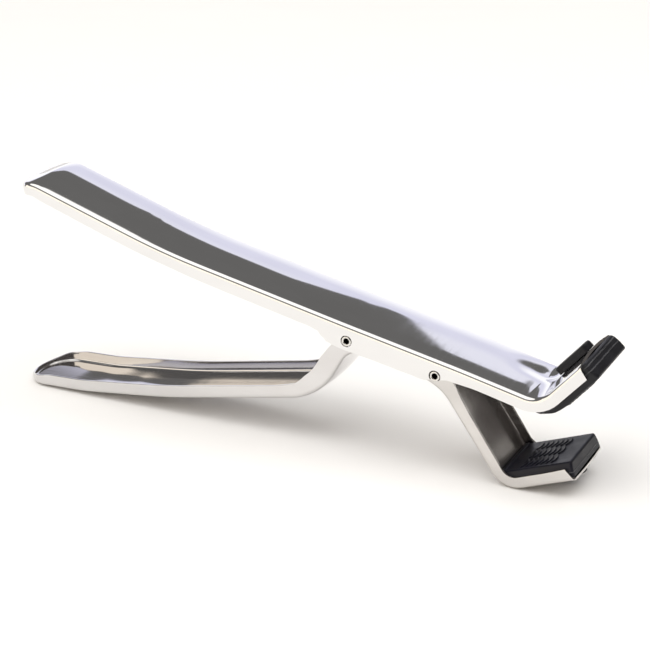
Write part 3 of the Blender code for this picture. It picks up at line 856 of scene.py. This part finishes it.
def studio_world():
    """Studio surroundings: a card behind, a strip in front, a low window, a bright ceiling, a grey room."""
    world = bpy.data.worlds.new("studio")
    bpy.context.scene.world = world
    world.use_nodes = True
    tree = world.node_tree
    tree.nodes.clear()

    def add(kind, **settings):
        node = tree.nodes.new(kind)
        for key, value in settings.items():
            setattr(node, key, value)
        return node

    def calc(operation, a, b=0.0):
        node = add("ShaderNodeMath", operation=operation)
        for socket, value in zip(node.inputs, (a, b)):
            if isinstance(value, (int, float)):
                socket.default_value = value
            else:
                tree.links.new(value, socket)
        return node.outputs["Value"]

    def soft_step(value, low, high):
        node = add("ShaderNodeMapRange", clamp=True, interpolation_type="SMOOTHSTEP")
        node.inputs["From Min"].default_value = low
        node.inputs["From Max"].default_value = high
        tree.links.new(value, node.inputs["Value"])
        return node.outputs["Result"]

    def both(*values):
        total = values[0]
        for value in values[1:]:
            total = calc("MULTIPLY", total, value)
        return total

    def blend(factor, a, b):
        node = add("ShaderNodeMix", data_type="RGBA")
        tree.links.new(factor, node.inputs["Factor"])
        for socket, colour in ((node.inputs[6], a), (node.inputs[7], b)):
            if isinstance(colour, tuple):
                socket.default_value = (*colour, 1.0)
            else:
                tree.links.new(colour, socket)
        return node.outputs[2]

    def curve(value, points):
        """Straight-line look-up of a value of 0 to 1 in (place, level) points."""
        node = add("ShaderNodeValToRGB")
        elements = node.color_ramp.elements
        elements[0].position, elements[1].position = points[0][0], points[-1][0]
        for where, _ in points[1:-1]:
            elements.new(where)
        for element, (_, level) in zip(elements, points):
            element.color = (level, level, level, 1.0)
        tree.links.new(value, node.inputs["Fac"])
        return node.outputs["Color"]

    direction = add("ShaderNodeSeparateXYZ")
    tree.links.new(add("ShaderNodeTexCoord").outputs["Generated"], direction.inputs["Vector"])
    x, y, z = direction.outputs
    bearing = calc("MULTIPLY_ADD", calc("ARCTAN2", x, y), 180.0 / math.pi / SKY_SPAN)
    bearing.node.inputs[2].default_value = 0.5
    climb = calc("MULTIPLY", calc("ARCSINE", z), 180.0 / math.pi)
    top = calc("MULTIPLY", curve(bearing, [(0.5 + a / SKY_SPAN, e / 90.0) for a, e in CARD_TOP]), 90.0)
    card = both(
        soft_step(y, 0.0, 0.05),
        calc("SUBTRACT", 1.0, soft_step(bearing, 0.5 - 2.5 / SKY_SPAN, 0.5 + 0.5 / SKY_SPAN)),
        calc("SUBTRACT", 1.0, soft_step(calc("SUBTRACT", climb, top), -0.7, 0.7)),
    )
    strip = both(
        calc("SUBTRACT", 1.0, soft_step(y, -0.3, -0.15)),
        calc("SUBTRACT", 1.0, soft_step(x, -0.1, 0.1)),
        calc("SUBTRACT", 1.0, soft_step(climb, 29.0, 33.0)),
    )
    overhead = soft_step(z, 0.808, 0.828)
    low_window = both(
        soft_step(y, 0.0, 0.05),
        soft_step(bearing, 0.5 + 10.0 / SKY_SPAN, 0.5 + 14.0 / SKY_SPAN),
        calc("SUBTRACT", 1.0, soft_step(climb, 5.0, 8.0)),
    )
    below = calc("SUBTRACT", 1.0, soft_step(z, -0.03, 0.0))
    card_tone = curve(calc("DIVIDE", climb, 45.0), [(0.2, 1.0), (0.42, 0.0), (0.55, 0.0), (0.7, 0.35)])
    current = blend(soft_step(bearing, 0.5, 0.6), ROOM_LEFT, ROOM_RIGHT)
    current = blend(card, current, blend(card_tone, CARD_MIDDLE, CARD_LOW))
    current = blend(strip, current, STRIP_GLOW)
    current = blend(low_window, current, WINDOW_GLOW)
    current = blend(overhead, current, CEILING_GLOW)
    current = blend(below, current, GROUND_GLOW)
    seen = add("ShaderNodeMix", data_type="RGBA")
    tree.links.new(add("ShaderNodeLightPath").outputs["Is Camera Ray"], seen.inputs["Factor"])
    tree.links.new(current, seen.inputs[6])
    seen.inputs[7].default_value = (*BACKDROP, 1.0)
    background = add("ShaderNodeBackground")
    tree.links.new(seen.outputs[2], background.inputs["Color"])
    output = add("ShaderNodeOutputWorld")
    tree.links.new(background.outputs["Background"], output.inputs["Surface"])


def area_light(name, where, power):
    """A soft light over the tool that lights the floor and the rubber but isn't mirrored in the steel."""
    data = bpy.data.lights.new(name, "AREA")
    data.shape = "SQUARE"
    data.size = LIGHT_SIZE
    data.energy = power
    lamp = bpy.data.objects.new(name, data)
    bpy.context.scene.collection.objects.link(lamp)
    lamp.location = where
    lamp.rotation_euler = (-Vector(where)).to_track_quat("-Z", "Y").to_euler()
    lamp.visible_glossy = False


def studio_floor(level):
    """A wide round floor just under the tool."""
    bm = bmesh.new()
    bmesh.ops.create_circle(bm, cap_ends=True, segments=96, radius=FLOOR_RADIUS)
    mesh = bpy.data.meshes.new("studio_floor")
    bm.to_mesh(mesh)
    bm.free()
    mesh.materials.append(floor_material())
    floor = bpy.data.objects.new("studio_floor", mesh)
    floor.location.z = level
    bpy.context.scene.collection.objects.link(floor)


def studio_camera():
    """The camera, tilted with the tool's slight pitch."""
    azimuth, elevation = math.radians(CAMERA_AZIMUTH), math.radians(CAMERA_ELEVATION)
    level, rise = math.cos(elevation), math.sin(elevation)
    back = Vector((math.sin(azimuth) * level, -math.cos(azimuth) * level, rise))
    right = Vector((math.cos(azimuth), math.sin(azimuth), 0.0))
    up = back.cross(right)
    axes = Matrix((right, up, back)).transposed()
    axes = Matrix.Rotation(math.radians(CAMERA_PITCH), 3, "Y") @ axes
    target = place(CAMERA_TARGET[0], 0.0, CAMERA_TARGET[1])
    data = bpy.data.cameras.new("camera")
    data.lens = CAMERA_LENS
    data.sensor_width = 36.0
    data.clip_start = 0.01
    camera = bpy.data.objects.new("camera", data)
    camera.matrix_world = Matrix.Translation(target + axes.col[2] * CAMERA_DISTANCE) @ axes.to_4x4()
    bpy.context.scene.collection.objects.link(camera)
    bpy.context.scene.camera = camera


# ---------------------------------------------------------------------------------------------
# Assembly
# ---------------------------------------------------------------------------------------------

lever_line = Line(LEVER_LINE)
handle_line = Line(HANDLE_LINE)
jaw_line = Line(JAW_LINE)
upper_head = lever_line.total - UPPER_HEAD_SETBACK
lower_head = jaw_line.total - LOWER_HEAD_SETBACK

mirror_steel = steel(
    "mirror_steel", (0.81, 0.805, 0.80), (0.78, 0.775, 0.77), (0.03, 0.055), 0.5, 0.05, worn=(10.0, 45.0),
)
# Handle steel: its rougher buffing is its own finish; its base colour, darker than the lever's, is painted
# shade standing in for the shaded floor that its flanges mirror.
handle_steel = steel("handle_steel", (0.70, 0.69, 0.685), (0.67, 0.655, 0.65), (0.05, 0.10), 0.6, 0.06)
satin_steel = steel("satin_steel", (0.68, 0.66, 0.64), (0.62, 0.60, 0.58), (0.13, 0.2), 0.5, 0.06)
# Inner faces of the jaw: its higher roughness is a duller inside finish; its darker base colour is painted
# shade inside the channel.
inside_painted_shade_steel = steel("inside_painted_shade_steel", (0.50, 0.48, 0.465), (0.44, 0.42, 0.405), (0.16, 0.24), 0.5, 0.08)
rivet_steel = steel("rivet_steel", (0.74, 0.73, 0.70), (0.68, 0.665, 0.63), (0.12, 0.2), 0.3, 0.08)
# Near-black steel for the rivet bores: painted shade inside the holes.
bore_painted_shade_steel = steel("bore_painted_shade_steel", (0.10, 0.085, 0.07), (0.06, 0.05, 0.045), (0.4, 0.6), 0.3, 0.1)
wire_steel = steel("wire_steel", (0.50, 0.50, 0.51), (0.42, 0.42, 0.43), (0.22, 0.34), 0.2, 0.1)
upper_rubber = rubber(
    "upper_rubber", (0.006, 0.006, 0.008), (0.011, 0.011, 0.014), lever_line, ABOVE, UPPER_SEAMS,
)
lower_rubber = rubber(
    "lower_rubber", (0.005, 0.005, 0.009), (0.010, 0.010, 0.017), jaw_line, BELOW, LOWER_SEAMS,
)


def pad_slot(line, side, middle):
    """Cutter for the slot that a pad's stem goes through."""
    length, width = STEM_LENGTH + SLOT_CLEARANCE, STEM_WIDTH + SLOT_CLEARANCE
    return slot_body(line, side, middle, [(length, width, height, 0.0) for height in (-3.0, 4.0)])


def steel_stampings():
    """The upper lever, the lower handle and the lower jaw."""
    hole = PIN_RADIUS + PIN_CLEARANCE
    lever_skin = outer_skin(
        lever_line, ABOVE, LEVER_HALF, LEVER_DEPTH, LEVER_CROWN, LEVER_DISH, LEVER_TIP,
        LEVER_TIP_SQUARENESS, LEVER_END_LEAN,
    )
    stamping(
        "lever_stamping", "upper_lever", "frame", mirror_steel, lever_skin,
        [(HANDLE_PIVOT, hole), (JAW_PIVOT, hole)], pad_slot(lever_line, ABOVE, upper_head),
    )
    handle_skin = outer_skin(
        handle_line, BELOW, HANDLE_HALF, HANDLE_DEPTH, HANDLE_CROWN, NO_DISH, HANDLE_TIP,
        HANDLE_TIP_SQUARENESS, 0.0,
    )
    stamping(
        "handle_stamping", "lower_handle", "handle", handle_steel, handle_skin,
        [(HANDLE_PIVOT, hole)], None,
    )
    jaw_skin = outer_skin(
        jaw_line, BELOW, JAW_HALF, JAW_DEPTH, JAW_CROWN, NO_DISH, 0.0, 2.0, JAW_END_LEAN,
    )
    stamping(
        "jaw_stamping", "lower_jaw", "jaw", satin_steel, jaw_skin,
        [(JAW_PIVOT, hole)], pad_slot(jaw_line, BELOW, lower_head), inside_painted_shade_steel,
    )


def upper_pad():
    """Pad under the upper jaw: wraps the heel, runs along the plate and covers its end."""
    half = LEVER_HALF - SHEET - PAD_FIT
    top = half - UPPER_PAD_TAPER
    back = -SHEET - PAD_FIT
    heel = lever_line.length_at(UPPER_PAD_HEEL)
    grip_start = lever_line.length_at(UPPER_PAD_PLATE) - 1.0
    end = lever_line.total + CAP_LENGTH
    stations = []
    for s, inset in end_rounding(heel, -1.0, HEEL_ROUNDING):
        stations.append((s, pad_loop(half, top, back, UPPER_PAD_GROWTH[0][1], inset, smooth_face), 0.0))
    for s in steps_between(heel + HEEL_ROUNDING + 0.1, end - CAP_ROUNDING - 0.1, PAD_STEP):
        past_plate = s > lever_line.total + 0.1
        here_back, corner = (CAP_BACK, CAP_CORNER) if past_plate else (back, BACK_CORNER)

        def lift(across, s=s):
            return scale_height(s, across, half - UPPER_GRIP_MARGIN, grip_start, UPPER_SCALE_PITCH)

        row = pad_loop(half, top, here_back, table(UPPER_PAD_GROWTH, s - heel), 0.0, lift, corner)
        stations.append((s, row, CAP_LEAN_START if s > end - 1.0 else 0.0))
    for s, inset in end_rounding(end, 1.0, CAP_ROUNDING):
        row = pad_loop(half, top, CAP_BACK, UPPER_PAD_DEPTH, inset, smooth_face, CAP_CORNER)
        stations.append((s, row, CAP_LEAN))
    thing = new_piece(
        "upper_pad_moulding", pad_body(lever_line, ABOVE, stations), "frame", upper_rubber,
        "upper_jaw_pad",
    )
    head = head_body(lever_line, ABOVE, upper_head, UPPER_HEAD_CROWN, UPPER_HEAD_LENGTH, UPPER_HEAD_HEIGHT)
    combine(thing, head, "UNION")
    sharpen(thing, PAD_CREASE)


def lower_pad():
    """Pad in the lower jaw: its top is one flat face from the heel to the end of the plate."""
    half = JAW_HALF - SHEET - PAD_FIT
    top = half - LOWER_PAD_TAPER
    back = -SHEET - PAD_FIT
    radius = JAW_LINE[2][2]
    bend_end = jaw_line.lengths[-2]
    stations = []
    for k in range(HEEL_STATIONS):
        angle = math.radians(HEEL_ANGLE * (1.0 - k / (HEEL_STATIONS - 1.0)))
        depth = radius - (radius - LOWER_PAD_DEPTH) / math.cos(angle)
        inset = max(0.0, 0.6 - 0.25 * k)
        row = pad_loop(half, top, back, max(depth, LOWER_PAD_THINNEST), inset, smooth_face)
        stations.append((bend_end - radius * angle, row, 0.0))
    for s in steps_between(bend_end + 0.2, jaw_line.total - LOWER_END_ROUNDING - 0.2, PAD_STEP):
        def lift(across, s=s):
            return scale_height(s, across, top - LOWER_GRIP_MARGIN, bend_end + 0.4, LOWER_SCALE_PITCH)

        stations.append((s, pad_loop(half, top, back, LOWER_PAD_DEPTH, 0.0, lift), 0.0))
    for s, inset in end_rounding(jaw_line.total, 1.0, LOWER_END_ROUNDING):
        stations.append((s, pad_loop(half, top, back, LOWER_PAD_DEPTH, inset, smooth_face), 0.0))
    thing = new_piece(
        "lower_pad_moulding", pad_body(jaw_line, BELOW, stations), "jaw", lower_rubber,
        "lower_jaw_pad",
    )
    head = head_body(jaw_line, BELOW, lower_head, LOWER_HEAD_CROWN, LOWER_HEAD_LENGTH, LOWER_HEAD_HEIGHT)
    combine(thing, head, "UNION")
    sharpen(thing, PAD_CREASE)


def rivets():
    """The two hollow rivets, their bores painted near-black as painted shade."""
    for rivet_node, pivot in (("handle_rivet", HANDLE_PIVOT), ("jaw_rivet", JAW_PIVOT)):
        rivet = new_piece(
            rivet_node + "_rolled", rivet_body(pivot, LEVER_HALF), "frame", rivet_steel, rivet_node,
        )
        # Second material: painted shade deep in the bore.
        rivet.data.materials.append(bore_painted_shade_steel)
        sharpen(rivet, 60.0)


def return_spring():
    """The spring: coils, legs and bridge as one wire, attached to no body."""
    spring = new_piece(
        "spring_wire", wire_body(spring_path(), WIRE_RADIUS), None, wire_steel, "return_spring",
    )
    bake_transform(spring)


steel_stampings()
upper_pad()
lower_pad()
rivets()
return_spring()

bpy.context.scene.view_settings.view_transform = "Standard"
studio_world()
studio_floor(cad_low.z - FLOOR_DROP)
area_light("key", *KEY_LIGHT)
area_light("fill", *FILL_LIGHT)
studio_camera()
